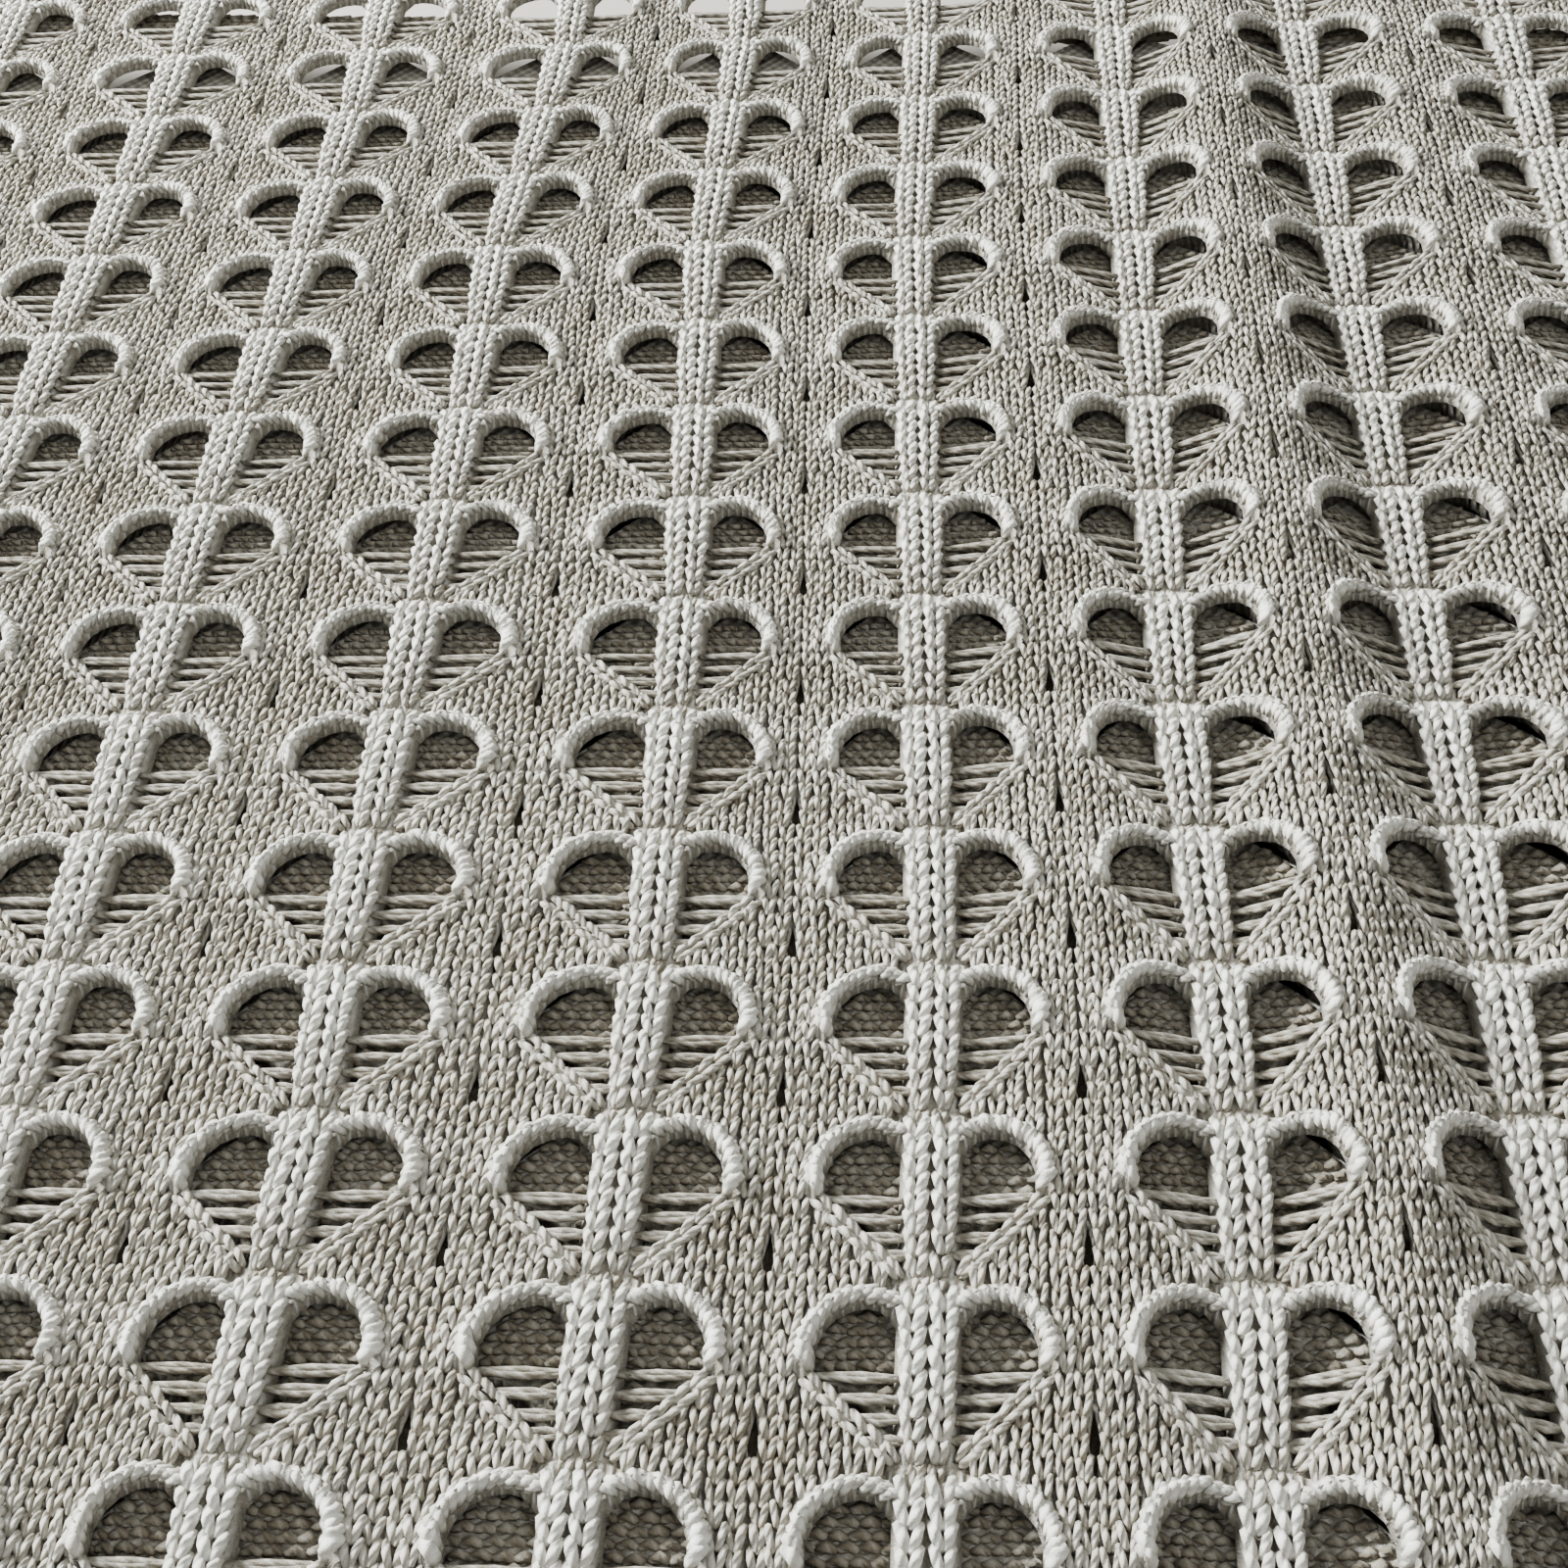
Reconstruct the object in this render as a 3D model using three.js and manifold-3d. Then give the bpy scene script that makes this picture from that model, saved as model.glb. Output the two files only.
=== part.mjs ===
// A knitted cotton throw, folded in half across its width and then in three along its length.
// Millimetres, +Z up. X runs across the pack and Y runs along it, from the near fold to the far hem.
// The origin is the middle of the pack's footprint, on the surface that it lies on.

import * as THREE from 'three';
import { mergeVertices } from 'three/addons/utils/BufferGeometryUtils.js';
import Module from 'manifold-3d';

const wasm = await Module();
wasm.setup();

// The throw as it was knitted, laid flat
const throwWidth = 1300;
const throwLength = 1700;
const hemWidth = 10;         // cast-on and cast-off edges
const selvedgeWidth = 8;     // the two long edges

// The knit
const clothThickness = 4.7;
const rollHeight = 2.8;      // rolled arch edges that stand above the uppermost face
const layerGap = 0.3;        // air between layers that lie on each other
const seamGap = 0.3;         // between two stretches of the same cloth

// The folds
const panelLength = 550;     // from the near fold to the far fold
const topOverhang = 72.6;    // how far the uppermost layer reaches past the far fold
const hemStep = 9;           // uppermost hem past the one below it, at the side fold
const hemSkew = 50;          // and how much more it is at the open side

// Layers: two in each panel, the lower one first
const layerPitch = clothThickness + layerGap;
const innerBend = clothThickness + layerGap / 2;       // outside radius of the cloth folded on itself
const outerBend = innerBend + layerPitch;              // of the cloth that goes round that
const foldLength = Math.PI * (innerBend + outerBend - clothThickness);  // one inner and one outer bend
const zOfLayer = (index) => index * layerPitch;
const zBetween = (index) => zOfLayer(index) - layerGap / 2;  // middle of the gap under a layer

// Footprint: side fold on the left, selvedges on the right
const halfWidth = throwWidth / 2 - Math.PI * (innerBend - clothThickness / 2) / 2;
const packWidth = halfWidth + seamGap + innerBend;
const right = packWidth / 2;
const left = right - halfWidth;
const packLength = outerBend + seamGap + panelLength + topOverhang;
const nearFold = -packLength / 2 + outerBend + seamGap;
const farFold = nearFold + panelLength;

// Ends of the cloth, for the half that ends uppermost and for the half under it
const upperTopEnd = farFold + topOverhang;
const lowerTopEnd = upperTopEnd - hemStep;
const upperBaseEnd = farFold - (throwLength - foldLength - panelLength - (upperTopEnd - nearFold));
const lowerBaseEnd = upperBaseEnd - hemStep;

const cotton = new THREE.MeshStandardMaterial({ color: 0xd3cec2, roughness: 0.95, metalness: 0 });
const edging = new THREE.MeshStandardMaterial({ color: 0xc9c3b5, roughness: 0.95, metalness: 0 });

const pack = new THREE.Group();

function add(name, geometry, material = cotton) {
  const mesh = new THREE.Mesh(geometry, material);
  mesh.name = name;
  pack.add(mesh);
  return mesh;
}

// A flat piece from (x0, x1), with its near and far edges each given at x0 and at x1
function slab([x0, x1], [near0, near1], [far0, far1], z, thickness) {
  const outline = new THREE.Shape([
    new THREE.Vector2(x0, near0), new THREE.Vector2(x1, near1),
    new THREE.Vector2(x1, far1), new THREE.Vector2(x0, far0),
  ]);
  const geometry = new THREE.ExtrudeGeometry(outline, { depth: thickness, bevelEnabled: false });
  return geometry.translate(0, 0, z);
}

// A half disc, or a half ring when it has an inner radius, bulging towards +x
function bendOutline(outerRadius, innerRadius) {
  const outline = new THREE.Shape();
  outline.absarc(0, 0, outerRadius, -Math.PI / 2, Math.PI / 2, false);
  if (innerRadius > 0) outline.absarc(0, 0, innerRadius, Math.PI / 2, -Math.PI / 2, true);
  outline.closePath();
  return outline;
}

// A fold that runs across the pack; side is 1 for the far end and -1 for the near end
function crossFold(y, z, side, outerRadius, innerRadius) {
  const options = { depth: right - left, bevelEnabled: false, curveSegments: 16 };
  const geometry = new THREE.ExtrudeGeometry(bendOutline(outerRadius, innerRadius), options);
  const across = new THREE.Vector3(side, 0, 0);
  const outward = new THREE.Vector3(0, side, 0);
  geometry.applyMatrix4(new THREE.Matrix4().makeBasis(outward, new THREE.Vector3(0, 0, 1), across));
  return geometry.translate(side > 0 ? left : right, y + side * seamGap, z);
}

// The side fold of one panel, from near to far
function sideFold(near, far, z) {
  const options = { depth: far - near, bevelEnabled: false, curveSegments: 16 };
  const geometry = new THREE.ExtrudeGeometry(bendOutline(innerBend, 0), options);
  const outward = new THREE.Vector3(-1, 0, 0);
  const along = new THREE.Vector3(0, 1, 0);
  geometry.applyMatrix4(new THREE.Matrix4().makeBasis(outward, new THREE.Vector3(0, 0, 1), along));
  return geometry.translate(left - seamGap, near, z);
}

function toSolid(geometry) {
  const bare = geometry.clone();
  bare.deleteAttribute('normal');
  bare.deleteAttribute('uv');
  const merged = mergeVertices(bare, 1e-4);
  return new wasm.Manifold(new wasm.Mesh({
    numProp: 3,
    vertProperties: new Float32Array(merged.attributes.position.array),
    triVerts: new Uint32Array(merged.index.array),
  }));
}

function toGeometry(solid) {
  const mesh = solid.getMesh();
  const geometry = new THREE.BufferGeometry();
  geometry.setAttribute('position', new THREE.BufferAttribute(mesh.vertProperties, 3));
  geometry.setIndex(new THREE.BufferAttribute(mesh.triVerts, 1));
  return geometry;
}

// Where the side fold itself is carried round a cross fold: a half disc swept about the fold's axis
function foldCorner(y, z, side) {
  const profile = [];
  const steps = 12;
  for (let i = 0; i <= steps; i += 1) {
    const angle = Math.PI * i / steps;
    const radius = layerPitch + innerBend * Math.cos(angle);
    profile.push(new THREE.Vector2(radius, innerBend * Math.sin(angle)));
  }
  profile.push(profile[0].clone());
  const ring = new THREE.LatheGeometry(profile, 32);
  ring.rotateZ(Math.PI / 2).translate(left - seamGap, y + side * seamGap, z);
  const reach = 4 * outerBend;
  const keep = new THREE.BoxGeometry(reach, reach, reach);
  keep.translate(left, y + side * (seamGap + reach / 2), z);
  return toGeometry(toSolid(ring).intersect(toSolid(keep)));
}

// One flat stretch of cloth with its selvedge; ends are [at the side fold, at the open side]
function layer(name, index, nearEnds, farEnds, thickness = clothThickness) {
  const slope = (ends) => (ends[1] - ends[0]) / (right - left);
  const at = (ends, x) => ends[0] + slope(ends) * (x - left);
  const inner = right - selvedgeWidth;
  const edge = inner + seamGap;
  const z = zOfLayer(index);
  add(`${name}_layer`, slab([left, inner], [nearEnds[0], at(nearEnds, inner)],
    [farEnds[0], at(farEnds, inner)], z, thickness));
  add(`${name}_selvedge`, slab([edge, right], [at(nearEnds, edge), nearEnds[1]],
    [at(farEnds, edge), farEnds[1]], z, clothThickness), edging);
}

// A hem along a cut end; outward is 1 for the far end and -1 for the near end
function hem(name, index, ends, outward) {
  const from = ends.map((y) => y - outward * (hemWidth - seamGap));
  const [near, far] = outward > 0 ? [from, ends] : [ends, from];
  add(name, slab([left, right], near, far, zOfLayer(index), clothThickness), edging);
}

const level = (y) => [y, y];
const shift = (ends, distance) => ends.map((y) => y + distance);
const upperTop = level(upperTopEnd);
const lowerTop = [lowerTopEnd, lowerTopEnd - hemSkew];
const upperBase = level(upperBaseEnd);
const lowerBase = [lowerBaseEnd, lowerBaseEnd - hemSkew];

// Base panel
layer('base_lower', 0, shift(lowerBase, hemWidth), level(farFold));
hem('base_lower_hem', 0, lowerBase, -1);
layer('base_upper', 1, shift(upperBase, hemWidth), level(farFold));
hem('base_upper_hem', 1, upperBase, -1);
add('base_side_fold', sideFold(upperBaseEnd, farFold, zBetween(1)));

// Middle panel
layer('middle_lower', 2, level(nearFold), level(farFold));
layer('middle_upper', 3, level(nearFold), level(farFold));
add('middle_side_fold', sideFold(nearFold, farFold, zBetween(3)));

// Top panel
layer('top_lower', 4, level(nearFold), shift(lowerTop, -hemWidth));
hem('top_lower_hem', 4, lowerTop, 1);
layer('top_upper', 5, level(nearFold), shift(upperTop, -hemWidth), clothThickness + rollHeight);
hem('top_upper_hem', 5, upperTop, 1);
add('top_side_fold', sideFold(nearFold, lowerTopEnd, zBetween(5)));

// Folds between the panels
for (const [name, y, z, side] of [['far', farFold, zBetween(2), 1], ['near', nearFold, zBetween(4), -1]]) {
  add(`${name}_fold_inner`, crossFold(y, z, side, innerBend, 0));
  add(`${name}_fold_outer`, crossFold(y, z, side, outerBend, innerBend + layerGap));
  add(`${name}_fold_corner`, foldCorner(y, z, side));
}

export default pack;
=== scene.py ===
# Openwork cotton throw, folded into a flat pack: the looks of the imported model
import bpy
import bmesh
import math
import numpy as np
from mathutils import Matrix, Vector


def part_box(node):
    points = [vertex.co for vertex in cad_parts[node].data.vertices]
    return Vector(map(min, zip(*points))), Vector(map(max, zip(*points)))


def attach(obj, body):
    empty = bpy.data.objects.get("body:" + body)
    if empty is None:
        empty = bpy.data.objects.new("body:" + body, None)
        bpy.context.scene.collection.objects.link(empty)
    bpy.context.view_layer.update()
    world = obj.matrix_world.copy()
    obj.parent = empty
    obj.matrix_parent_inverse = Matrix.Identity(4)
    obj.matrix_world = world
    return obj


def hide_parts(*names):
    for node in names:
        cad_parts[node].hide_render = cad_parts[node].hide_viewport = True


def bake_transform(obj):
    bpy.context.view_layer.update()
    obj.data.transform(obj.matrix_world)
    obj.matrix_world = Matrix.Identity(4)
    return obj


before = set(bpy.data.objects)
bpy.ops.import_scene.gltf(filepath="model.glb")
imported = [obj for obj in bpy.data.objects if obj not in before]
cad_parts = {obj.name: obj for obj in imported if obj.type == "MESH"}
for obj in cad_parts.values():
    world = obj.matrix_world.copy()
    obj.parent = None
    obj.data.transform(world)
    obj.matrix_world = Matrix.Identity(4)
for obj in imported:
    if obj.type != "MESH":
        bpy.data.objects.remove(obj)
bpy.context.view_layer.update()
random = np.random.default_rng(20)
mm = 0.001

# Standing over the near edge of the pack, in millimetres
camera = {"lens": 49.5, "at": (62.2, -350.3, 384.2), "aim": (29.0, -43.8, 28.5), "roll": -4.95}


def makeCamera(c):
    data = bpy.data.cameras.new("camera")
    data.lens = c["lens"]
    data.sensor_width = 36
    data.clip_start = 0.01
    eye = bpy.data.objects.new("camera", data)
    bpy.context.scene.collection.objects.link(eye)
    place = Vector(c["at"]) * mm
    look = (Vector(c["aim"]) * mm - place).normalized()
    level = look.cross(Vector((0, 0, 1))).normalized()
    turn = math.radians(c["roll"])
    right = level * math.cos(turn) + level.cross(look) * math.sin(turn)
    up = right.cross(look)
    eye.matrix_world = Matrix.Translation(place) @ Matrix((right, up, -look)).transposed().to_4x4()
    bpy.context.scene.camera = eye


makeCamera(camera)
print("camera is in place")

# The knit, in millimetres: u runs across from a rib's middle, v along from where the rib is pinched
knit = {
    "pitch": 59.09,        # from one rib to the next
    "row": 35.45,          # from one pair of arches to the next
    "courses": 9,          # stitches in a row's height
    "ribs": 11,
    "firstRow": -2.96,     # row number at the near fold
    "ribWale": 5.3,
    "plainWale": 3.77,
    "edgeWale": 4.0,
    "ribYarn": 1.14,       # half widths of the strands
    "plainYarn": 0.80,
    "floatYarn": 0.72,
    "lay": 5.4,            # length of one turn of the twist
    "hole": 0.31,          # share of the cloth that is open
}
pitch, row = knit["pitch"], knit["row"]
half = pitch / 2
course = row / knit["courses"]
centreRib = (knit["ribs"] - 1) / 2

panelLow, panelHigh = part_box("middle_lower_layer")
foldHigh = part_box("near_fold_outer")[1]
left, right, rim = panelLow.x / mm, panelHigh.x / mm, foldHigh.x / mm
nearFold, farFold = panelLow.y / mm, panelHigh.y / mm
clothThickness = (panelHigh.z - panelLow.z) / mm
rowZero = nearFold - knit["firstRow"] * row


def layerMiddle(layer):
    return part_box(f"{layer}_layer")[0].z / mm + clothThickness / 2


layerStep = layerMiddle("base_upper") - layerMiddle("base_lower")
innerBend, outerBend = layerStep / 2, layerStep * 1.5

# One repeat of the knit
archPath = [(4.6, -2.6), (7.4, -0.9), (11.0, 0.1), (14.6, -0.6),
            (18.1, -2.6), (20.7, -5.8), (22.0, -9.6), (22.0, -13.6)]
ribEdge = 4.9
ribEdgePoints = (4.6, 13.0, 22.0, 30.5)
diagonalFoot, diagonalHead = (5.6, 4.2), (21.2, 19.4)
diagonalPoints = 5
diagonalSet = 0.6          # how far the slanting edge of the opening draws away from the rib
seamBow = 3.1
# how far in from the outline, and how high, the cloth passes on its way to the opening
edgeProfiles = {
    "rib": [(-3.0, 1.7), (-1.0, 1.5), (0.5, -0.4)],
    "arch": [(-2.2, 1.2), (-0.1, 4.6), (1.5, 0.9)],
    "diagonal": [(-2.6, 0.2), (-1.0, 0.9), (0.3, -0.4)],
}
slit = {"to": 13.5, "widest": 8.0, "halfWidth": 1.1}
hill = {"height": 1.1, "near": 2.0, "fall": 3.5}
mergeDistance = 0.02


def archHeight(u):
    return np.interp(u, [p[0] for p in archPath[:7]], [p[1] for p in archPath[:7]])


def diagonalHeight(u):
    return np.interp(u, [diagonalFoot[0], diagonalHead[0]], [diagonalFoot[1], diagonalHead[1]])


def hillHeight(u, v):
    # the cloth climbs to the rolled edge of each arch
    arch = np.array(archPath[1:])
    away = min(np.hypot(arch[:, 0] - u, arch[:, 1] + up - v).min() for up in (0, row))
    return hill["height"] * math.exp(-max(away - hill["near"], 0) / hill["fall"])


def seamHeight(u):
    # where one repeat's cloth ends and the next begins, bowed to pass over the arch
    return seamBow * math.sin(math.pi * u / half)


def openingOutline():
    points = [(ribEdge, v, "rib") for v in ribEdgePoints]
    points += [(u, row + v, "arch") for u, v in archPath[1:]]
    for k in range(diagonalPoints):
        share = k / (diagonalPoints - 1)
        u, v = (h + (f - h) * share for f, h in zip(diagonalFoot, diagonalHead))
        points.append((u + diagonalSet * share, v + diagonalSet * share, "diagonal"))
    return points


def cellBorder():
    across = [half * k / 4 for k in range(5)]
    up = [(0.0, 0.0), (0.0, 12.0), (0.0, 24.0)]
    over = [(u, row + seamHeight(u)) for u in across]
    down = [(half, 30.0), (half, 24.0), (half, slit["to"]), (half - slit["halfWidth"], slit["widest"])]
    back = [(u, seamHeight(u)) for u in reversed(across[1:])]
    return up + over + down + back


def cellRing(points, level):
    # the outline moved in or out, at the height of that step of the profile
    ring = []
    for k, (u, v, kind) in enumerate(points):
        before, after = points[k - 1], points[(k + 1) % len(points)]
        way = Vector((after[0] - before[0], after[1] - before[1])).normalized()
        inward, height = edgeProfiles[kind][level]
        ring.append((u + way.y * inward, v - way.x * inward, height))
    return ring


def clothCell(levels):
    # the cloth of one repeat round its two openings: the border extruded inwards ring by ring, then mirrored
    outline = openingOutline()
    ribHeight = edgeProfiles["rib"][0][1]
    border = [(u, v, ribHeight if u == 0 else hillHeight(u, v)) for u, v in cellBorder()]
    bm = bmesh.new()
    ring = bmesh.ops.create_circle(bm, segments=len(border), radius=1)["verts"]
    for vert, place in zip(ring, border):
        vert.co = place
    for level in levels:
        edges = [edge for edge in bm.edges if edge.verts[0] in ring and edge.verts[1] in ring]
        made = bmesh.ops.extrude_edge_only(bm, edges=edges)["geom"]
        fresh = {item for item in made if isinstance(item, bmesh.types.BMVert)}
        ring = [next(e.other_vert(old) for e in old.link_edges if e.other_vert(old) in fresh)
                for old in ring]
        for vert, place in zip(ring, cellRing(outline, level)):
            vert.co = place
    bmesh.ops.mirror(bm, geom=bm.verts[:] + bm.edges[:] + bm.faces[:], matrix=Matrix.Identity(4),
                     merge_dist=mergeDistance, axis="X")
    bmesh.ops.recalc_face_normals(bm, faces=bm.faces)
    if sum(face.normal.z for face in bm.faces) < 0:
        bmesh.ops.reverse_faces(bm, faces=bm.faces)
    for face in bm.faces:
        face.smooth = True
    return bm


def newPiece(name, bm):
    mesh = bpy.data.meshes.new(name)
    bm.to_mesh(mesh)
    bm.free()
    piece = bpy.data.objects.new(name, mesh)
    bpy.context.scene.collection.objects.link(piece)
    return piece


def applyModifiers(piece):
    bpy.context.view_layer.update()
    made = bpy.data.meshes.new_from_object(piece.evaluated_get(bpy.context.evaluated_depsgraph_get()))
    piece.modifiers.clear()
    piece.data = made


def repeatAlong(piece, offset, count, merge=0.0):
    array = piece.modifiers.new("repeat", "ARRAY")
    array.use_relative_offset = False
    array.use_constant_offset = True
    array.constant_offset_displace = offset
    array.count = count
    array.use_merge_vertices = merge > 0
    array.merge_threshold = max(merge, 0.0001)


# Where cloth lies: each of these turns flat cloth, x, y and height over its middle, into place
def laidFlat(middle, face=1):
    def place(points):
        out = points.copy()
        out[:, 2] = middle + face * points[:, 2]
        return out
    return place


def roundBend(edge, way, radius, centre, face=1, reliefs=(1.0, 1.0)):
    def place(points):
        out = points.copy()
        angle = (points[:, 1] - edge) * way / radius
        reach = radius + face * points[:, 2] * np.interp(angle, (0, math.pi), reliefs)
        out[:, 1] = edge + way * reach * np.sin(angle)
        out[:, 2] = centre + reach * np.cos(angle)
        return out
    return place


def roundSide(centre):
    # x is the way round from the upper layer to the lower one
    def place(points):
        out = points.copy()
        angle = points[:, 0] / innerBend
        reach = innerBend + points[:, 2]
        out[:, 0] = left - reach * np.sin(angle)
        out[:, 2] = centre + reach * np.cos(angle)
        return out
    return place


def roundCorner(edge, way, centre):
    aside = roundSide(0.0)

    def place(points):
        out = aside(points)
        angle = (points[:, 1] - edge) * way / layerStep
        reach = layerStep + out[:, 2]
        out[:, 1] = edge + way * reach * np.sin(angle)
        out[:, 2] = centre + reach * np.cos(angle)
        return out
    return place


# How the uppermost cloth wanders off its straight lines: for each rib, (row, shift to the right)
wander = {
    1: [(0, 0.0)],
    3: [(0, -3.0), (7, -2.4), (9, 0.4), (12, 3.8)],
    4: [(0, -4.4), (2, -1.2), (3, -2.2), (7, -0.5), (10, -1.4), (11, 1.4), (13, 7.0)],
    5: [(0, -0.5), (3, 3.4), (6, 2.9), (10, -1.6), (13, 3.0)],
    6: [(0, 0.8), (3, 2.5), (5, 0.8), (10, -2.7), (13, -0.3)],
    7: [(0, -1.1), (2, 0.5), (5, -2.7), (9, -2.0), (13, -1.0)],
    8: [(0, -5.0), (13, -5.0)],
    10: [(0, 0.0)],
}
# Plain cloth between the ribs stands up in waves at the right: (rib number, height)
waves = [(6.0, 0.0), (6.5, 3.5), (7.5, 9.5), (8.5, 6.0), (9.5, 0.0)]
underLift = 0.6            # share of a wave that the layer beneath takes
waveEnds = [(-2.9, 0.0), (-0.5, 1.0), (12.0, 1.0), (14.5, 0.6)]
wanderEnds = [(-2.9, 0.0), (-0.8, 1.0), (14.0, 1.0), (14.6, 0.8)]


def wanderShift(rib, along):
    ribs = sorted(wander)
    table = np.array([np.interp(along, *zip(*wander[r])) for r in ribs])
    place = np.clip(np.interp(rib, ribs, range(len(ribs))), 0, len(ribs) - 1.001)
    index = place.astype(int)
    share = place - index
    share = share * share * (3 - 2 * share)
    columns = np.arange(len(rib))
    return table[index, columns] * (1 - share) + table[index + 1, columns] * share


def draped(middle, face=1, lifted=1.0):
    def place(points):
        out = points.copy()
        rib = points[:, 0] / pitch + centreRib
        along = (points[:, 1] - rowZero) / row
        out[:, 0] += wanderShift(rib, along) * np.interp(along, *zip(*wanderEnds))
        wave = np.interp(rib, *zip(*waves)) * (0.5 - 0.5 * np.cos(2 * math.pi * rib))
        out[:, 2] = middle + face * points[:, 2] + lifted * wave * np.interp(along, *zip(*waveEnds))
        return out
    return place


def isMirrored(place, flat):
    # true where a way of laying the cloth swaps its two faces
    corner = flat.reshape(-1, 3).mean(axis=0)
    moved = place(corner + np.vstack((np.zeros(3), np.eye(3) * 0.01)))
    return np.linalg.det(moved[1:] - moved[0]) < 0


# Cloth pieces
def shapeCloth(piece, place, thickness, shift=(0, 0)):
    # flat millimetres become the cloth's own UV map, then it is put in place and given its thickness
    mesh = piece.data
    flat = np.zeros(len(mesh.vertices) * 3)
    mesh.vertices.foreach_get("co", flat)
    flat = flat.reshape(-1, 3)
    corners = np.zeros(len(mesh.loops), int)
    mesh.loops.foreach_get("vertex_index", corners)
    uv = (flat[corners, :2] - shift) / (pitch, row)
    layer = mesh.uv_layers.new(name="UVMap") if not mesh.uv_layers else mesh.uv_layers[0]
    layer.data.foreach_set("uv", uv.ravel())
    mesh.vertices.foreach_set("co", (place(flat) * mm).ravel())
    if isMirrored(place, flat):
        mesh.flip_normals()
    mesh.update()
    mesh.materials.append(knitFace)
    mesh.materials.append(purlFace)
    wall = piece.modifiers.new("wall", "SOLIDIFY")
    wall.thickness = thickness * mm
    wall.offset = 0
    wall.material_offset = 1
    applyModifiers(piece)


def openCloth(name, low, high, place, look, shift=(0, 0), cuts=(), end=None):
    # cloth with its openings, from y low to high, cut off along each of cuts (point, outward)
    bm = clothCell(look["levels"])
    first = math.floor((low - rowZero - shift[1]) / row) - 1
    start = ((-centreRib - 1) * pitch + shift[0], rowZero + first * row + shift[1], 0)
    bmesh.ops.scale(bm, vec=(1, 1, look["relief"]), verts=bm.verts)
    bmesh.ops.translate(bm, vec=(start[0], start[1], look["lift"]), verts=bm.verts)
    piece = newPiece(name, bm)
    repeatAlong(piece, (pitch, 0, 0), knit["ribs"] + 2, mergeDistance)
    repeatAlong(piece, (0, row, 0), math.ceil((high - low) / row) + 3, mergeDistance)
    applyModifiers(piece)
    bm = bmesh.new()
    bm.from_mesh(piece.data)
    sides = [((left, 0), (-1, 0)), ((end or right, 0), (1, 0)), ((0, low), (0, -1)), ((0, high), (0, 1))]
    for point, outward in sides + list(cuts):
        bmesh.ops.bisect_plane(bm, geom=bm.verts[:] + bm.edges[:] + bm.faces[:], plane_co=(*point, 0),
                               plane_no=(*outward, 0), clear_outer=True)
    bm.to_mesh(piece.data)
    bm.free()
    origin = (-centreRib * pitch + shift[0], rowZero + shift[1])
    shapeCloth(piece, place, look["thickness"], origin)
    return piece


def plainCloth(name, low, high, steps, place, thickness):
    # a strip of close cloth between two corners in flat millimetres
    bm = bmesh.new()
    bmesh.ops.create_grid(bm, x_segments=steps[0], y_segments=steps[1], size=0.5)
    size = (high[0] - low[0], high[1] - low[1], 1)
    bmesh.ops.scale(bm, vec=size, verts=bm.verts)
    bmesh.ops.translate(bm, vec=((high[0] + low[0]) / 2, (high[1] + low[1]) / 2, 0), verts=bm.verts)
    for face in bm.faces:
        face.smooth = True
    piece = newPiece(name, bm)
    shapeCloth(piece, place, thickness)
    return piece


# Strands of yarn: each is (points along it, half width)
def bowed(start, through, end, radius):
    middle = tuple(2 * m - (a + b) / 2 for a, m, b in zip(start, through, end))
    return ((start, middle, end), radius)


# One side of a V stitch at its start, middle and end: (share of the spread, share of the height, rise)
legPoints = ((0.10, -0.12, -0.75), (0.90, 0.62, 0.8), (1.35, 1.42, -0.95))
legSpread = 0.27           # share of a stitch's width


def leg(centre, side, foot, height, spread, radius, rise=0.0):
    # tucked under the stitch above
    start, through, end = ((centre + side * spread * across, foot + along * height, rise + up)
                           for across, along, up in legPoints)
    return bowed(start, through, end, radius)


# A rib is pinched where the arches meet it: share of a row, and its width and lift there
ribShape = {"at": (0.0, 0.05, 0.14, 0.3, 0.5, 0.86, 0.94, 1.0),
            "width": (0.64, 0.62, 0.80, 0.94, 1.0, 1.06, 1.05, 0.80),
            "lift": (0.3, 0.3, 1.2, 2.0, 2.4, 2.9, 2.8, 1.4),
            "first": 0.35, "outerDrop": 0.4}


def ribStrands():
    strands = []
    for k in range(knit["courses"]):
        at = (k + ribShape["first"]) / knit["courses"]
        width = np.interp(at, ribShape["at"], ribShape["width"])
        lift = np.interp(at, ribShape["at"], ribShape["lift"])
        for wale in (-1, 1):
            centre = wale * knit["ribWale"] / 2 * width
            for side in (-1, 1):
                drop = ribShape["outerDrop"] if side == wale else 0.0
                strands.append(leg(centre, side, k * course, course, knit["ribWale"] * legSpread * width,
                                   knit["ribYarn"] * (0.4 + 0.6 * width), lift - drop))
    return strands


# Plain stitches between an arch and the slanting edge: their clearances, and how they part round the slit
plain = {"wales": 6, "overArch": 1.4, "underSlant": 0.6, "slitLength": 3.6,
         "slantAt": 23.0, "slantLength": 6.0}


def plainStrands():
    strands = []
    for i in range(plain["wales"]):
        u = half - (i + 0.5) * knit["plainWale"]
        bottom, top = 0.0, row
        if i > 1:
            bottom = archHeight(u) + plain["overArch"]
            top = diagonalHeight(max(u, diagonalFoot[0])) - plain["underSlant"]
        count = max(1, round((top - bottom) / course))
        height = (top - bottom) / count
        for k in range(count):
            foot = bottom + k * height
            v = foot + height / 2
            away = 0.0
            if i == 0:
                away = -slit["halfWidth"] * math.exp(-((v - slit["widest"]) / plain["slitLength"]) ** 2)
            if i == 1:
                away = math.exp(-((v - plain["slantAt"]) / plain["slantLength"]) ** 2)
            for side in (-1, 1):
                strands.append(leg(u + away, side, foot, height, knit["plainWale"] * legSpread,
                                   knit["plainYarn"], hillHeight(u, v)))
    return strands


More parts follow.
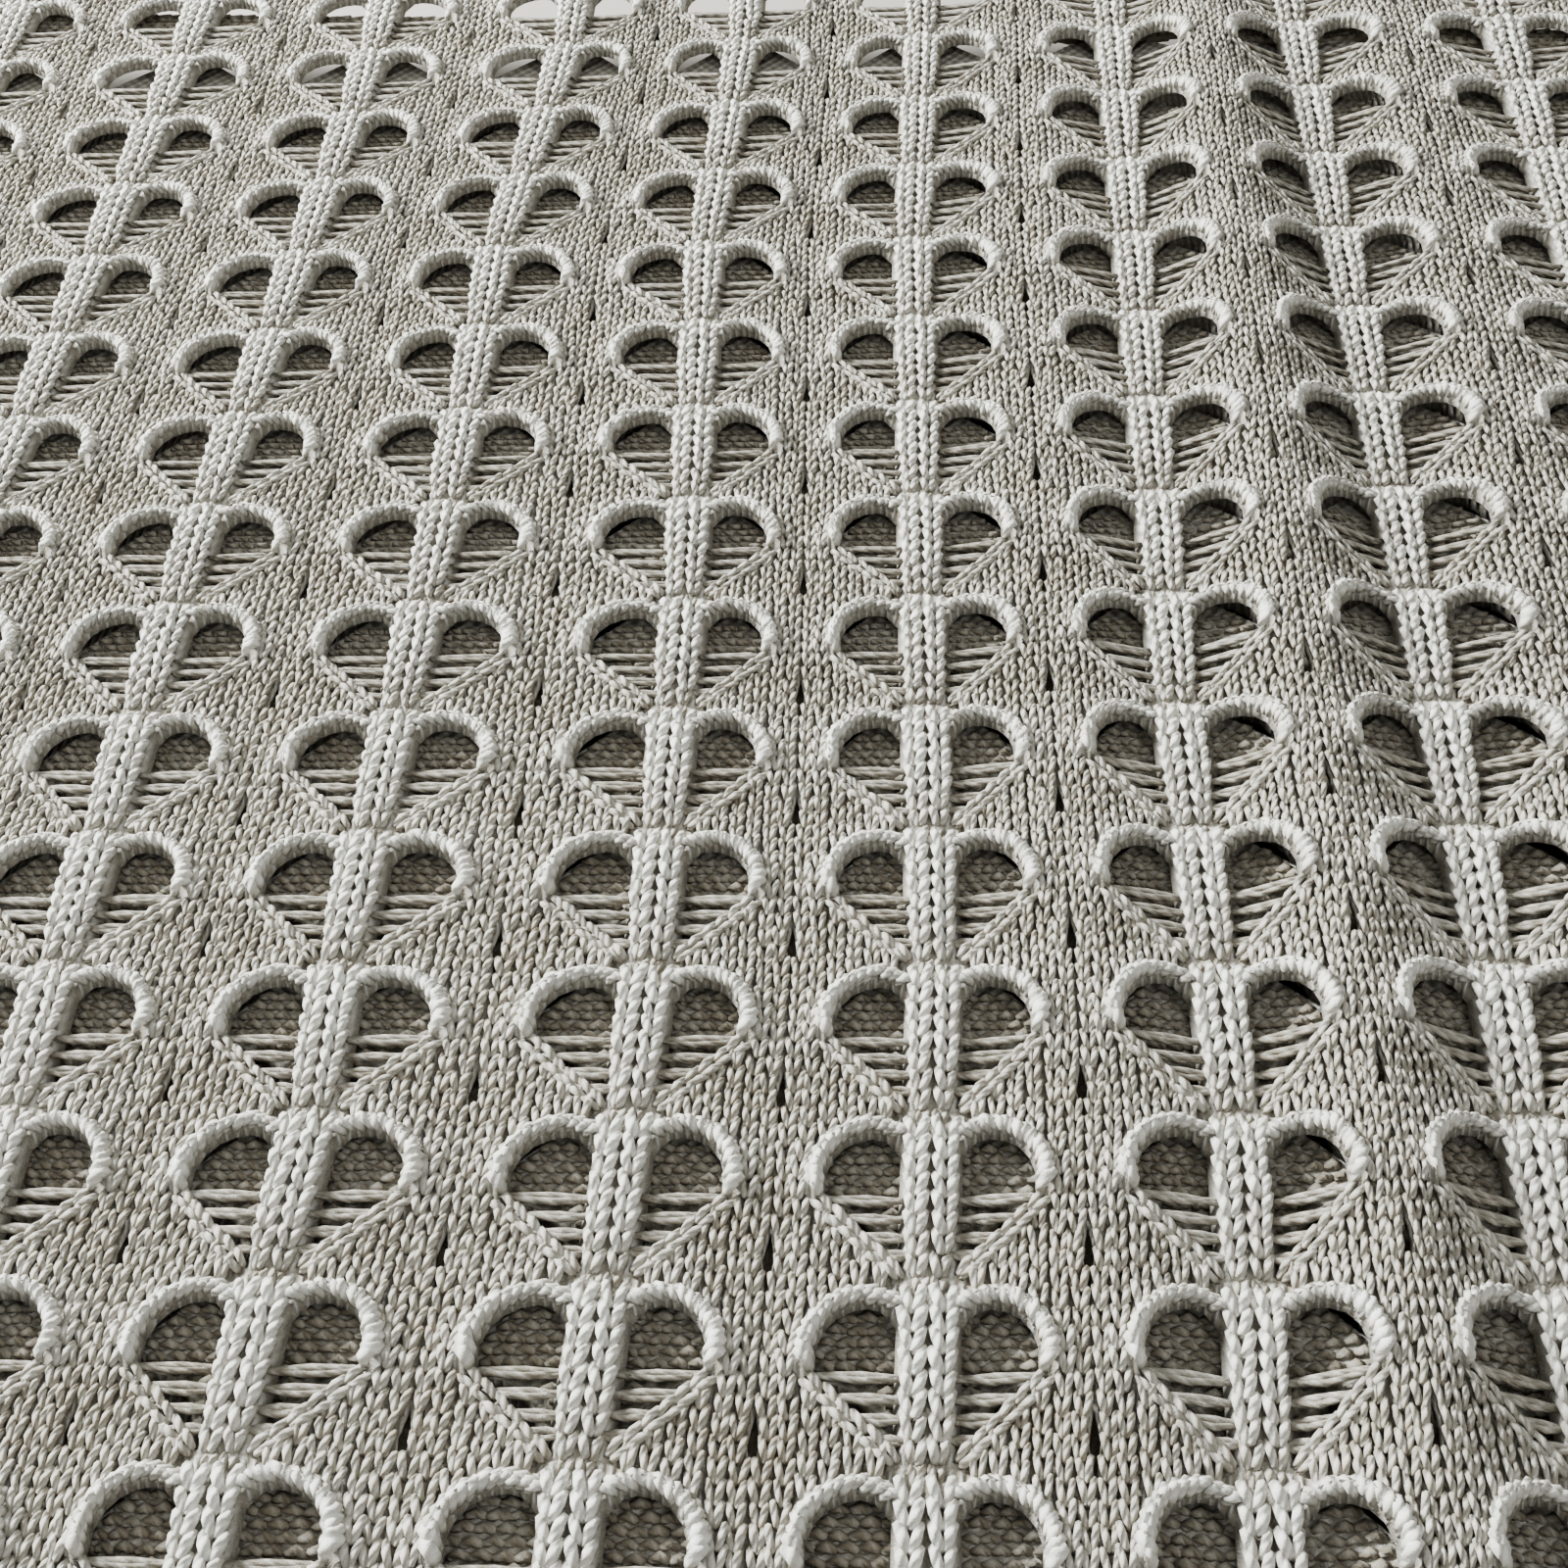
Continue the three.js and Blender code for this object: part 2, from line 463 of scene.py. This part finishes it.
# The chain up the slanting edge: (steps along, how far aside, height) at a strand's start, middle and end
slantChain = {"stitches": 6, "points": ((-0.2, 0.3, 0.0), (0.6, 1.0, 1.3), (1.35, 1.2, 0.0)), "yarn": 1.1}


def diagonalStrands():
    strands = []
    start, end = np.array(diagonalFoot), np.array(diagonalHead)
    along = (end - start) / np.linalg.norm(end - start)
    step = np.linalg.norm(end - start) / slantChain["stitches"]
    across = np.array((along[1], -along[0]))
    for k in range(slantChain["stitches"]):
        for side in (-1, 1):
            a, m, b = ((*(start + along * (k + forward) * step + across * side * aside), height)
                       for forward, aside, height in slantChain["points"])
            strands.append(bowed(a, m, b, knit["plainYarn"] * slantChain["yarn"]))
    return strands


def pathPoint(path, share):
    points = np.array(path, float)
    steps = np.linalg.norm(np.diff(points, axis=0), axis=1)
    marks = np.concatenate(([0], np.cumsum(steps))) / steps.sum()

    def pointAt(s):
        return np.array([np.interp(min(max(s, 0), 1), marks, points[:, k]) for k in (0, 1)])
    nudge = 0.03
    ahead, behind = pointAt(share + nudge), pointAt(share - nudge)
    return pointAt(share), (ahead - behind) / np.linalg.norm(ahead - behind)


# Wraps of yarn over the rolled edge of an arch: (turn in degrees, slide along it)
roll = {"wraps": 14, "radius": 1.55, "tall": 1.5, "middle": 1.9, "yarn": 1.0, "swell": 0.45,
        "turns": ((-50, -1.7), (40, -0.8), (95, 0.4), (150, 1.4), (225, 2.1))}


def archStrands():
    strands = []
    for k in range(roll["wraps"]):
        at, way = pathPoint(archPath, (k + 0.5) / roll["wraps"])
        out = np.array((-way[1], way[0]))
        points = []
        for turn, slide in roll["turns"]:
            angle = math.radians(turn)
            place = at + out * roll["radius"] * math.cos(angle) + way * slide
            points.append((*place, roll["middle"] + roll["radius"] * roll["tall"] * math.sin(angle)))
        strands.append((tuple(points), roll["yarn"] + roll["swell"] * (k / roll["wraps"]) ** 2))
    return strands


# Loose floats across an opening, each of three strands: (where it starts, how it turns, how it drops)
floats = {"rows": (8.6, 12.3, 16.1, 20.0), "from": 1.5, "to": 22.0, "slope": 1.02, "past": 0.8,
          "sag": 0.3, "heights": (0.5, 0.3, 0.9), "gather": 0.4,
          "plies": ((-0.75, 0.5, -0.2), (0.1, -0.3, 0.3), (0.8, -0.6, -0.1))}


def floatStrands():
    strands = []
    begin, (low, middle, high) = floats["from"], floats["heights"]
    for v in floats["rows"]:
        onSlant = diagonalFoot[0] + (v - diagonalFoot[1]) * floats["slope"]
        end = min(onSlant + floats["past"], floats["to"])
        for ply, turn, drop in floats["plies"]:
            through = ((begin + end) / 2, v + turn - floats["sag"], middle - drop)
            finish = (end, v + ply * floats["gather"], high + drop)
            strands.append(bowed((begin, v + ply, low + drop), through, finish, knit["floatYarn"]))
    return strands


def bothSides(strands):
    return strands + [(tuple((-p[0], *p[1:]) for p in points), radius) for points, radius in strands]


lowerShift = (half, 22.0)
purl = {"step": 0.62, "width": 0.55, "dip": 0.4, "crown": 0.5, "heights": (0.2, 1.3), "yarn": 1.02,
        "above": 13.0, "inside": (3.5, 23.0)}


def purlStrands():
    # the bumps of the cloth beneath that can be seen through the openings
    strands = []
    step = course * purl["step"]
    low, high = (height - layerStep for height in purl["heights"])
    across = pitch / round(pitch / knit["plainWale"])
    for k in range(round(row / step)):
        v = k * row / round(row / step)
        for i in range(round(pitch / across)):
            u = (i + (k % 2) / 2) * across - half
            seen = purl["inside"][0] < abs(u) < purl["inside"][1] and v > purl["above"]
            seen = seen and diagonalHeight(abs(u)) - 1 < v < row + archHeight(abs(u)) + 1
            beneathU, beneathV = half - abs(u), (v - lowerShift[1]) % row
            gone = beneathU > ribEdge and diagonalHeight(beneathU) < beneathV < row + archHeight(beneathU)
            if seen and not (gone and beneathU < archPath[-1][0]):
                reach = across * purl["width"]
                strands.append(bowed((u - reach, v - purl["dip"], low), (u, v + purl["crown"], high),
                                     (u + reach, v - purl["dip"], low), purl["yarn"]))
    return strands


# How round the strands are made: (sides, rings), the finest near the front of the pack
fine, fair, coarse = (6, 4), (5, 3), (4, 3)
strandShape = {"taper": 0.38, "flatness": 0.92, "jitter": 0.12, "uneven": 0.06}


def strandCopies(name, count, sides, rings):
    # one closed spindle, copied by an Array modifier
    bm = bmesh.new()
    bm.loops.layers.uv.new("UVMap")
    bmesh.ops.create_uvsphere(bm, u_segments=sides, v_segments=rings, radius=1, calc_uvs=True)
    for face in bm.faces:
        face.smooth = True
    piece = newPiece(name, bm)
    shape = np.zeros(len(piece.data.vertices) * 3)
    piece.data.vertices.foreach_get("co", shape)
    repeatAlong(piece, (0, 0, 0), count)
    applyModifiers(piece)
    return piece, shape.reshape(-1, 3)


def bezier(points, share):
    # points (strand, k, 3) and share along (vertex): places and directions (strand, vertex, 3)
    degree = points.shape[1] - 1

    def weights(order):
        return np.array([math.comb(order, i) * share ** i * (1 - share) ** (order - i)
                         for i in range(order + 1)])
    places = np.einsum("im,nik->nmk", weights(degree), points)
    ways = np.einsum("im,nik->nmk", weights(degree - 1), np.diff(points, axis=1))
    return places, ways / np.linalg.norm(ways, axis=2, keepdims=True)


def layStrands(points, radii, place, detail):
    sides, rings = detail
    rings += (points.shape[1] - 3) // 2 + (points.shape[1] > 3)
    piece, shape = strandCopies("strands", len(points), sides, rings)
    ringSize = np.hypot(shape[:, 0], shape[:, 1])
    around = shape[:, :2] / np.maximum(ringSize, 1e-9)[:, None]
    swell = ringSize ** strandShape["taper"]
    places, ways = bezier(points, (shape[:, 2] + 1) / 2)
    side = np.cross(points[:, -1] - points[:, 0], (0, 0, 1.0))
    side /= np.linalg.norm(side, axis=1, keepdims=True)
    side = side[:, None] - ways * np.einsum("nk,nmk->nm", side, ways)[..., None]
    side /= np.linalg.norm(side, axis=2, keepdims=True)
    up = np.cross(side, ways)
    size = radii[:, None, None] * swell[None, :, None]
    places = places + side * size * around[None, :, :1]
    places = places + up * size * strandShape["flatness"] * around[None, :, 1:]
    places = places.reshape(-1, 3)
    piece.data.vertices.foreach_set("co", (place(places) * mm).ravel())
    # each point's height, which the finish turns into painted shade: the lower, the darker
    pileShade = piece.data.attributes.new("pileShade", "FLOAT", "POINT")
    pileShade.data.foreach_set("value", places[:, 2].astype(np.float32))
    lengths = np.linalg.norm(np.diff(points, axis=1), axis=2).sum(axis=1)
    uvs = np.zeros(len(piece.data.loops) * 2)
    layer = piece.data.uv_layers[0].data
    layer.foreach_get("uv", uvs)
    uvs = uvs.reshape(len(points), -1, 2)
    uvs[..., 1] = uvs[..., 1] * (lengths / knit["lay"])[:, None] + random.random(len(points))[:, None]
    layer.foreach_set("uv", uvs.ravel())
    if isMirrored(place, points):
        piece.data.flip_normals()
    piece.data.update()
    return piece


def tileStrands(strands, cells, place, detail, isKept):
    # every strand in every cell (x, y of its origin), as one piece for each number of points
    pieces = []
    jitter = strandShape["jitter"]
    for count in sorted({len(points) for points, _ in strands}):
        some = [s for s in strands if len(s[0]) == count]
        base = np.array([points for points, _ in some], float)
        corner = np.array([(x, y, 0) for x, y in cells])
        points = (base[None] + corner[:, None, None]).reshape(-1, count, 3)
        radii = np.tile([radius for _, radius in some], len(cells))
        points += random.normal(0, jitter, (len(points), 1, 3)) * (1, 1, 0.6)
        points += random.normal(0, jitter * 0.8, points.shape) * (1, 1, 0.5)
        radii = radii * random.normal(1, strandShape["uneven"], len(radii))
        kept = isKept(points.mean(axis=1))
        if kept.any():
            pieces.append(layStrands(points[kept], radii[kept], place, detail))
    return pieces


def joinStrands(name, pieces, body=None):
    bpy.ops.object.select_all(action="DESELECT")
    for piece in pieces:
        piece.select_set(True)
    bpy.context.view_layer.objects.active = pieces[0]
    bpy.ops.object.join()
    joined = pieces[0]
    joined.name = name
    joined.data.materials.clear()
    joined.data.materials.append(cotton)
    joined.data.polygons.foreach_set("material_index", np.zeros(len(joined.data.polygons), int))
    if body:
        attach(joined, body)
    return joined


# Finishes
class Value:
    # a shader socket that takes part in sums
    def __init__(self, tree, link):
        self.tree = tree
        self.link = link

    def maths(self, operation, other=None, swap=False):
        made = self.tree.nodes.new("ShaderNodeMath")
        made.operation = operation
        ends = (other, self) if swap else (self, other)
        for place, end in zip(made.inputs, ends):
            if isinstance(end, Value):
                self.tree.links.new(end.link, place)
            elif end is not None:
                place.default_value = end
        return Value(self.tree, made.outputs[0])

    def __add__(self, other):
        return self.maths("ADD", other)

    def __radd__(self, other):
        return self.maths("ADD", other, True)

    def __sub__(self, other):
        return self.maths("SUBTRACT", other)

    def __rsub__(self, other):
        return self.maths("SUBTRACT", other, True)

    def __mul__(self, other):
        return self.maths("MULTIPLY", other)

    def __rmul__(self, other):
        return self.maths("MULTIPLY", other, True)

    def __truediv__(self, other):
        return self.maths("DIVIDE", other)

    def __lt__(self, other):
        return self.maths("LESS_THAN", other)


class Finish:
    # a material, and the one method that adds its nodes
    def __init__(self, name):
        self.material = bpy.data.materials.new(name)
        self.material.use_nodes = True
        self.tree = self.material.node_tree
        self.shader = self.tree.nodes["Principled BSDF"]

    def node(self, kind, output, settings=None, **sockets):
        made = self.tree.nodes.new(kind)
        for key, value in (settings or {}).items():
            setattr(made, key, value)
        for key, value in sockets.items():
            self.put(made.inputs[key.replace("_", " ")], value)
        return Value(self.tree, made.outputs[output])

    def blend(self, share, dark, light):
        made = self.tree.nodes.new("ShaderNodeMix")
        made.data_type = "RGBA"
        self.put(made.inputs[0], share)
        self.put(made.inputs[6], (*dark, 1))
        self.put(made.inputs[7], (*light, 1))
        return Value(self.tree, made.outputs[2])

    def put(self, socket, value):
        if isinstance(value, Value):
            self.tree.links.new(value.link, socket)
        else:
            socket.default_value = value

    def feed(self, **values):
        for key, value in values.items():
            self.put(self.shader.inputs[key.replace("_", " ")], value)


# dark is the yarn's darker tone and also the colour its painted shade blends to
cottonLook = {"light": (0.81, 0.805, 0.765), "dark": (0.27, 0.235, 0.18), "roughness": 0.92, "sheen": 0.12,
              "toneScale": 90.0, "tone": 0.45, "fibreScale": 2600.0, "fibre": 0.40, "fibreRelief": 0.35}
# contrast: how much painted shade the relief gives, darker in ply grooves and in the gaps between stitches
yarnLook = {"depth": 0.0005, "pale": -0.50, "contrast": 0.28, "pileShade": 0.19, "lowest": 0.5}
clothLook = {"depth": 0.0011, "pale": -0.29, "contrast": 0.60, "ribLightTrim": -0.34}


def finishCotton(f, relief, look, pileShade):
    # fine fibres and a slow change of tone over whatever relief the cloth has, with painted shade: darker in
    # the relief's hollows, paler where the pile stands up and darker deep in it
    place = f.node("ShaderNodeTexCoord", "Object")
    tone = f.node("ShaderNodeTexNoise", "Fac", Vector=place, Scale=cottonLook["toneScale"], Detail=3.0)
    fibre = f.node("ShaderNodeTexNoise", "Fac", Vector=place, Scale=cottonLook["fibreScale"], Detail=2.0)
    share = look["pale"] + tone * cottonLook["tone"] + fibre * cottonLook["fibre"]
    share = share + relief * look["contrast"] + pileShade
    f.feed(Base_Color=f.blend(share, cottonLook["dark"], cottonLook["light"]))
    height = relief + fibre * cottonLook["fibreRelief"]
    f.feed(Normal=f.node("ShaderNodeBump", "Normal", Height=height, Strength=1.0, Distance=look["depth"]))
    f.feed(Roughness=cottonLook["roughness"], Sheen_Weight=cottonLook["sheen"])
    return f.material


def yarnFinish(name):
    # two plies twisted round each other, as a bump and as painted shade darkening the grooves between them
    f = Finish(name)
    parts = f.tree.nodes.new("ShaderNodeSeparateXYZ")
    f.put(parts.inputs[0], f.node("ShaderNodeUVMap", "UV", {"uv_map": "UVMap"}))
    around, along = (Value(f.tree, parts.outputs[k]) for k in (0, 1))
    ply = ((around + along) * (4 * math.pi)).maths("SINE") * 0.5 + 0.5
    height = f.node("ShaderNodeAttribute", "Fac", {"attribute_name": "pileShade"})
    # painted shade: strands are darker the lower they lie, down to a floor
    return finishCotton(f, ply, yarnLook, height.maths("MAXIMUM", yarnLook["lowest"]) * yarnLook["pileShade"])


def clothFinish(name, isPurl):
    # stitches drawn on the close cloth, from its flat position in repeats, as bumps and as painted shade:
    # darker in the gaps between stitches and in the dips of the purl
    f = Finish(name)
    parts = f.tree.nodes.new("ShaderNodeSeparateXYZ")
    f.put(parts.inputs[0], f.node("ShaderNodeUVMap", "UV", {"uv_map": "UVMap"}))
    across, along = (Value(f.tree, parts.outputs[k]) for k in (0, 1))
    fromRib = ((across + 0.5).maths("FRACT") - 0.5).maths("ABSOLUTE") * pitch
    onRib = fromRib < knit["ribWale"]
    plainWales = (fromRib - knit["ribWale"]) / knit["plainWale"]
    wale = plainWales + onRib * (fromRib / knit["ribWale"] - plainWales)
    stitch = along * knit["courses"]
    if isPurl:
        relief = (wale * (2 * math.pi)).maths("SINE") * (stitch * (2 * math.pi)).maths("SINE") * 0.5 + 0.5
        relief = relief * (1 - onRib * 0.3)
    else:
        aside = (wale.maths("FRACT") - 0.5).maths("ABSOLUTE")
        strandWay = ((stitch - aside * 1.3) * (2 * math.pi)).maths("COSINE") * 0.5 + 0.5
        gap = (aside * (4 * math.pi)).maths("COSINE") * -0.5 + 0.5
        relief = (strandWay * 0.6 + 0.4) * gap + onRib * 0.7
    # the rib's raise also paints the ribs lighter, a painted highlight, and the last term takes most of it
    # back
    return finishCotton(f, relief, clothLook, onRib * clothLook["ribLightTrim"])


cotton = yarnFinish("cotton_yarn")
knitFace = clothFinish("knit_face", False)
purlFace = clothFinish("purl_face", True)
print("finishes are made")

# The uppermost layer, rib by rib
viewRows = {"near": range(-1, 5), "far": range(5, 14), "nearRibs": range(3, 9), "farRibs": range(1, 10)}


def cellsOf(column, rows, shift=(0, 0)):
    return [((column - centreRib) * pitch + shift[0], rowZero + r * row + shift[1]) for r in rows]


def stripDetails(column):
    rows = range(math.floor(knit["firstRow"]) - 1, 16)
    near = [r for r in rows if r in viewRows["near"] and column in viewRows["nearRibs"]]
    far = [r for r in rows if r not in near and r in viewRows["far"] and column in viewRows["farRibs"]]
    rest = [r for r in rows if r not in near and r not in far]
    return ((fine, near), (fair, far), (coarse, rest))


def knitStrands():
    return ribStrands() + bothSides(plainStrands() + diagonalStrands() + archStrands() + floatStrands())


def strandStrip(name, strands, column, place, low, high, body):
    def isInside(middles):
        x, y = middles[:, 0], middles[:, 1]
        return (y > low) & (y < high) & (x > left) & (x < right)
    pieces = []
    for detail, rows in stripDetails(column):
        if rows:
            pieces += tileStrands(strands, cellsOf(column, rows), place, detail, isInside)
    return joinStrands(name, pieces, body)


hemWidth = (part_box("top_upper_hem")[1].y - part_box("top_upper_hem")[0].y) / mm
clothLooks = {
    "shown": {"levels": (0, 1, 2), "relief": 1.0, "lift": -1.5, "thickness": 1.5},
    "inside": {"levels": (1, 2), "relief": 0.3, "lift": 0.0, "thickness": 1.7},
    "bend": {"levels": (1, 2), "relief": 0.2, "lift": 0.0, "thickness": 1.8},
}


def hemLine(node, way):
    # y of the cloth's end at the left and at the right
    low, high = (corner.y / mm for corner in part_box(node))
    return (high - hemWidth, low) if way > 0 else (high, low + hemWidth)


def hemCut(ends, way):
    return ((left, ends[0]), (way * (ends[0] - ends[1]) / (rim - left), way))


# For each layer: its body, the way its knit faces, where its repeats start, its two ends, and how it lies
layers = {
    "base_lower": {"body": "base_panel", "face": -1, "shift": (half, 8.0), "hem": -1},
    "base_upper": {"body": "base_panel", "face": 1, "shift": (0, 0), "hem": -1},
    "middle_lower": {"body": "middle_panel", "face": -1, "shift": (half, 22.0), "hem": 0},
    "middle_upper": {"body": "middle_panel", "face": 1, "shift": (0, 10.0), "hem": 0},
    "top_lower": {"body": "top_panel", "face": -1, "shift": lowerShift, "hem": 1},
    "top_upper": {"body": "top_panel", "face": 1, "shift": (0, 0), "hem": 1},
}
for name, layer in layers.items():
    low, high, cuts = nearFold, farFold, []
    if layer["hem"]:
        layer["ends"] = hemLine(f"{name}_hem", layer["hem"])
        cuts = [hemCut(layer["ends"], layer["hem"])]
        low = min(layer["ends"]) if layer["hem"] < 0 else nearFold
        high = max(layer["ends"]) if layer["hem"] > 0 else farFold
    middle = layerMiddle(name)
    layer["place"] = laidFlat(middle, layer["face"])
    if layer["body"] == "top_panel":
        layer["place"] = draped(middle, layer["face"], 1.0 if layer["face"] > 0 else underLift)
    look = clothLooks["shown" if name == "top_upper" else "inside"]
    layer["cloth"] = openCloth(f"{name}_cloth", low, high, layer["place"], look, layer["shift"], cuts)
    layer["flat"] = ((right - left) * mm, (high - low) * mm)
    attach(layer["cloth"], layer["body"])
    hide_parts(f"{name}_layer")
print("six layers of cloth", sum(len(layer["cloth"].data.polygons) for layer in layers.values()), "faces")

topEnd = layers["top_upper"]["ends"][0]
underEnd = min(layers["top_lower"]["ends"])
topStrips = [strandStrip(f"top_knit_{c + 1:02d}", knitStrands(), c, layers["top_upper"]["place"], nearFold,
                         topEnd, "top_panel") for c in range(knit["ribs"])]
purlPlace = draped(layerMiddle("top_upper"), 1, underLift)
purlStrips = [strandStrip(f"top_purl_{c + 1:02d}", purlStrands(), c, purlPlace, nearFold,
                          underEnd, "top_panel") for c in range(knit["ribs"])]
print("strands", sum(len(s.data.polygons) for s in topStrips + purlStrips), "faces")

# Hems, selvedges and side folds: a close core with chains of stitches over it
edge = {"core": 1.6, "rise": 0.6, "yarn": 0.27, "spread": 0.26}


def chainStrands(wales, width, bothFaces=True, sideways=False):
    spacing = width / wales
    strands = []
    for i in range(wales):
        for side in (-1, 1):
            strands.append(leg((i + 0.5) * spacing, side, 0.0, course, spacing * edge["spread"],
                               knit["edgeWale"] * edge["yarn"], edge["rise"]))
    if sideways:
        strands = [(tuple((v, u, h) for u, v, h in points), radius) for points, radius in strands]
    if bothFaces:
        strands += [(tuple((u, v, -h) for u, v, h in points), radius) for points, radius in strands]
    return strands


def isAnywhere(middles):
    return np.ones(len(middles), bool)


def knitEdge(name, low, high, steps, strands, place, nodes, body=None, sideways=False):
    core = plainCloth(name, low, high, steps, place, edge["core"])
    way = 0 if sideways else 1
    count = math.floor((high[way] - low[way]) / course)
    step = (high[way] - low[way]) / count
    cells = [(low[0] + k * step, low[1]) if sideways else (low[0], low[1] + k * step) for k in range(count)]
    chains = tileStrands(strands, cells, place, coarse, isAnywhere)
    piece = joinStrands(name, [core] + chains, body)
    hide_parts(*nodes)
    return piece


def outFrom(ends, way, place):
    # y is counted outwards from the end of the cloth
    def shifted(points):
        out = points.copy()
        out[:, 1] = np.interp(points[:, 0], (left, rim), ends) + way * points[:, 1]
        return place(out)
    return shifted


for name, layer in layers.items():
    low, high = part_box(f"{name}_selvedge")
    selvedge = knitEdge(f"{name}_selvedge_knit", (right, low.y / mm), (rim, high.y / mm), (1, 60),
                        chainStrands(2, rim - right), layer["place"], [f"{name}_selvedge"], layer["body"])
    layer["edges"] = [selvedge]
    if layer["hem"]:
        place = outFrom(layer["ends"], layer["hem"], layer["place"])
        layer["edges"].append(knitEdge(f"{name}_hem_knit", (left, 0), (rim, hemWidth), (120, 1),
                                       chainStrands(2, hemWidth, True, True), place, [f"{name}_hem"],
                                       layer["body"], True))
sideWay = math.pi * innerBend
for panel in ("base", "middle", "top"):
    low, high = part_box(f"{panel}_side_fold")
    place = roundSide((layerMiddle(f"{panel}_lower") + layerMiddle(f"{panel}_upper")) / 2)
    side = knitEdge(f"{panel}_side_knit", (0, low.y / mm), (sideWay, high.y / mm), (8, 60),
                    chainStrands(3, sideWay, False), place, [f"{panel}_side_fold"], f"{panel}_panel")
    layers[f"{panel}_upper"]["edges"].append(side)
print("edges are knitted")

# The cloth that goes round the two cross folds
crossFolds = {
    "far": {"edge": farFold, "way": 1, "bodies": ("base_panel", "middle_panel"), "from": "middle",
            "reliefs": (0.4, 0.4)},
    "near": {"edge": nearFold, "way": -1, "bodies": ("middle_panel", "top_panel"), "from": "top",
             "reliefs": (1.0, 0.4)},
}
straightSpread = 0.05      # the spread for the inner cloth and the corner at the fold
for name, fold in crossFolds.items():
    at, way, panel = fold["edge"], fold["way"], fold["from"]
    centre = layerMiddle(f"{panel}_lower") - innerBend
    outerSpread = outerBend + clothThickness / 2
    outer = roundBend(at, way, outerBend, centre)
    inner = roundBend(at, way, innerBend, centre, -1)
    shift = layers[f"{panel}_upper"]["shift"]
    spans = [sorted((at, at + way * math.pi * radius)) for radius in (outerBend, innerBend, layerStep)]
    outerCloth = openCloth(f"{name}_fold_outer_cloth", *spans[0], outer, clothLooks["inside"], shift, (), rim)
    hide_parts(f"{name}_fold_outer")
    innerCloth = openCloth(f"{name}_fold_inner_cloth", *spans[1], inner, clothLooks["bend"],
                           layers[f"{panel}_lower"]["shift"], (), rim)
    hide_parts(f"{name}_fold_inner")

    def isOnBend(middles):
        return (middles[:, 1] > spans[0][0]) & (middles[:, 1] < spans[0][1]) & (middles[:, 0] > left)
    first = math.floor((spans[0][0] - rowZero - shift[1]) / row)
    cells = [cell for c in range(knit["ribs"]) for cell in cellsOf(c, range(first, first + 3), shift)]
    knitWay = roundBend(at, way, outerBend, centre, 1, fold["reliefs"])
    knitted = joinStrands(f"{name}_fold_knit", tileStrands(knitStrands(), cells, knitWay, coarse, isOnBend))
    corner = knitEdge(f"{name}_fold_corner_knit", (0, spans[2][0]), (sideWay, spans[2][1]), (8, 12),
                      chainStrands(3, sideWay, False), roundCorner(at, way, centre), [f"{name}_fold_corner"])
    turning = ((outerCloth, outerSpread), (innerCloth, straightSpread), (knitted, outerSpread),
               (corner, straightSpread))
    for piece, spread in turning:
        at * mm
        (centre - spread) * mm
        at * mm
        (centre + spread) * mm
        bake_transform(piece)
    fold["flat"] = ((rim - left) * mm, math.pi * outerBend * mm)
    fold["flat"][0] * fold["flat"][1] * (1 - knit["hole"])
print("folds are made")

for name, layer in layers.items():
    pieces = layer["edges"] + {"top_upper": topStrips, "top_lower": purlStrips}.get(name, [])
    layer["flat"][0] * layer["flat"][1] * (1 - knit["hole"])


# Floor and light
surroundings = {"floor": (0.48, 0.455, 0.425, 1), "world": (0.95, 0.97, 0.93, 1), "strength": 0.52}


def stageSet():
    bm = bmesh.new()
    bmesh.ops.create_grid(bm, x_segments=1, y_segments=1, size=3)
    bmesh.ops.translate(bm, vec=(0, 0, -0.0005), verts=bm.verts)
    floor = newPiece("floor", bm)
    f = Finish("pale_floor")
    f.feed(Base_Color=surroundings["floor"], Roughness=0.8)
    floor.data.materials.append(f.material)


def areaLight(name, place, size, power, colour):
    data = bpy.data.lights.new(name, "AREA")
    data.size = size
    data.energy = power
    data.color = colour
    lamp = bpy.data.objects.new(name, data)
    bpy.context.scene.collection.objects.link(lamp)
    lamp.location = place
    lamp.rotation_euler = (-Vector(place)).to_track_quat("-Z", "Y").to_euler()


# A low window at the left and a weak light from the room: place, size, power and colour
lamps = {
    "window": ((-1.3, 0.65, 0.78), 0.5, 88, (0.98, 1.0, 0.98)),
    "room": ((0.8, -0.9, 1.6), 1.6, 5, (1.0, 0.98, 0.95)),
}
stageSet()
bpy.context.scene.view_settings.look = "AgX - Medium High Contrast"
for name, lamp in lamps.items():
    areaLight(name, *lamp)
world = bpy.data.worlds.new("world")
bpy.context.scene.world = world
world.use_nodes = True
background = world.node_tree.nodes["Background"]
background.inputs["Color"].default_value = surroundings["world"]
background.inputs["Strength"].default_value = surroundings["strength"]
